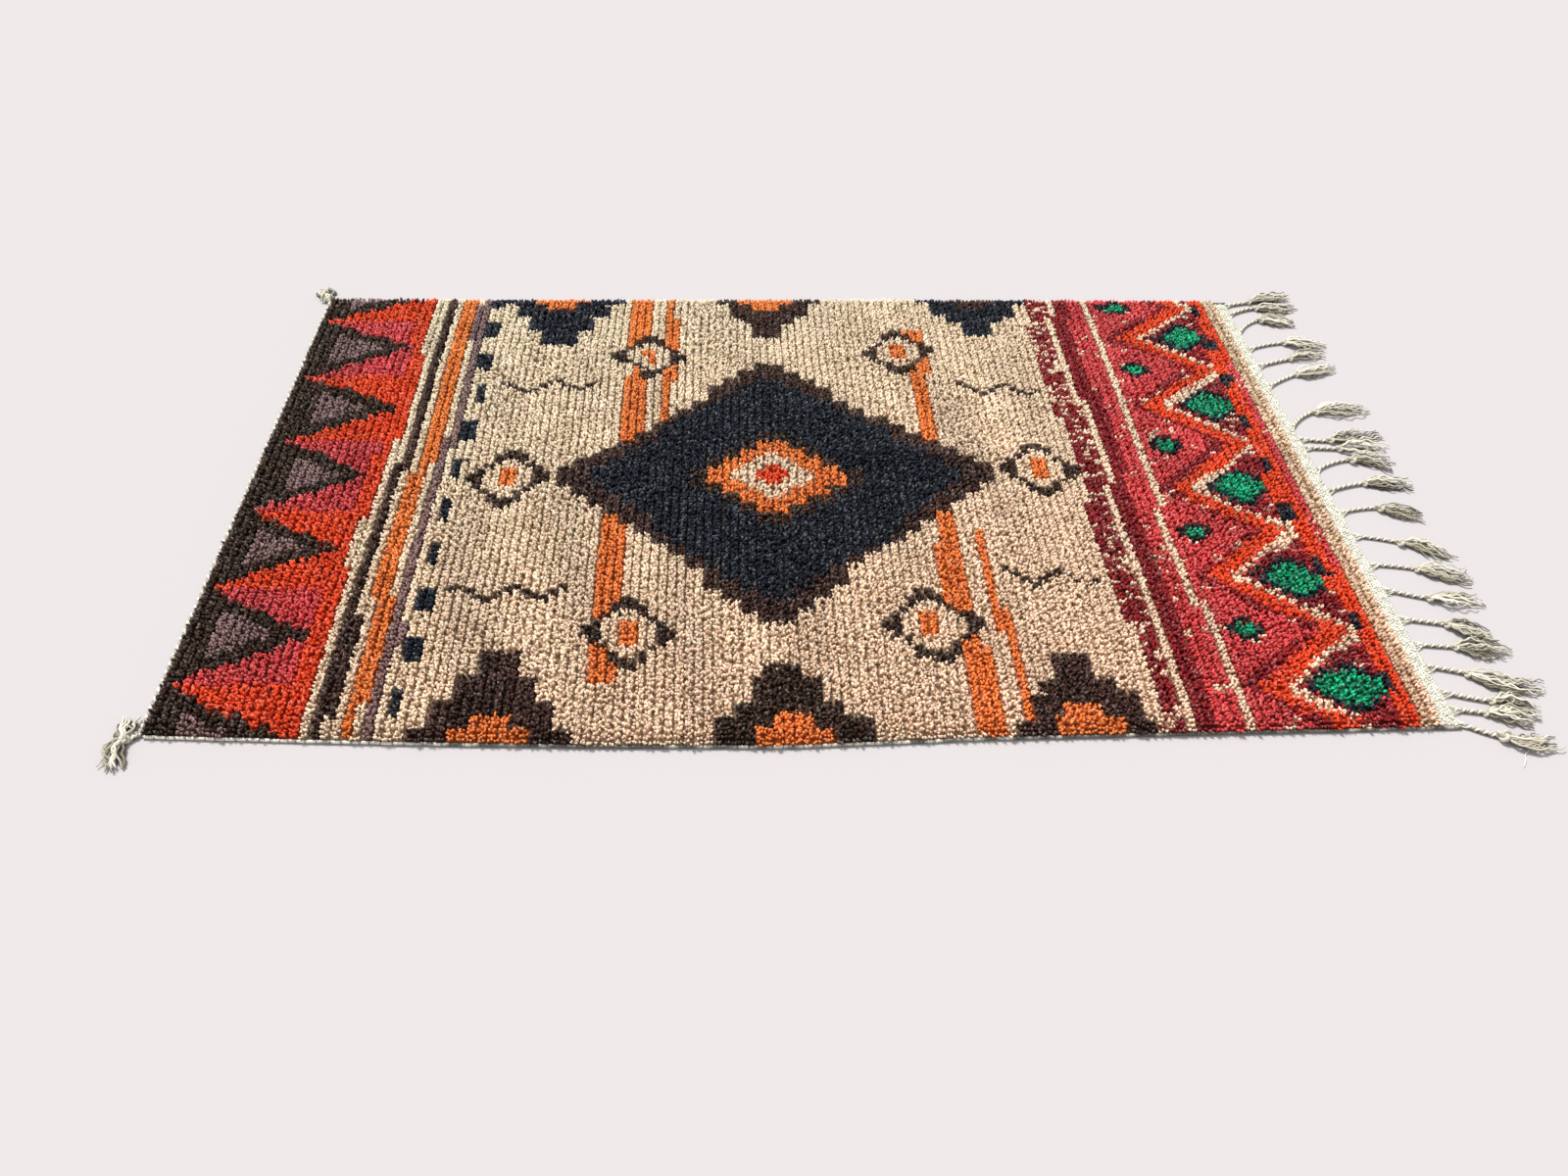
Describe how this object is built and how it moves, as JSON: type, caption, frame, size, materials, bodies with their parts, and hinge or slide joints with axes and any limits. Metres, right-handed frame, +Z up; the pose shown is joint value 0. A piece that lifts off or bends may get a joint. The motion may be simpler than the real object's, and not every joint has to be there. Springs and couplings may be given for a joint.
{
  "type": "beni ourain rug",
  "caption": "Rectangular hand-knotted wool pile rug with corded sides, a twined starting end and a flat-woven end with a knotted fringe.",
  "frame": {"origin": "middle of the flat underside of the pile, on the floor", "axes": "+X along the warp towards the fringed end, +Y across the rug to the far long side, +Z up out of the pile face"},
  "size_m": [2.8137, 1.6486, 0.034],
  "materials": {
    "pile_wool": "matte hand-knotted wool pile in natural and dyed colours",
    "selvedge_wool": "matte overcast wool cord",
    "start_cord_wool": "matte twined wool cord",
    "flat_weave_wool": "matte flat-woven wool with twisted warp ends"
  },
  "bodies": {
    "root": {"pile_field": "pile_wool", "selvedge_near": "selvedge_wool", "selvedge_far": "selvedge_wool", "start_cord": "start_cord_wool", "kilim_end_fringe": "flat_weave_wool"}
  },
  "joints": []
}
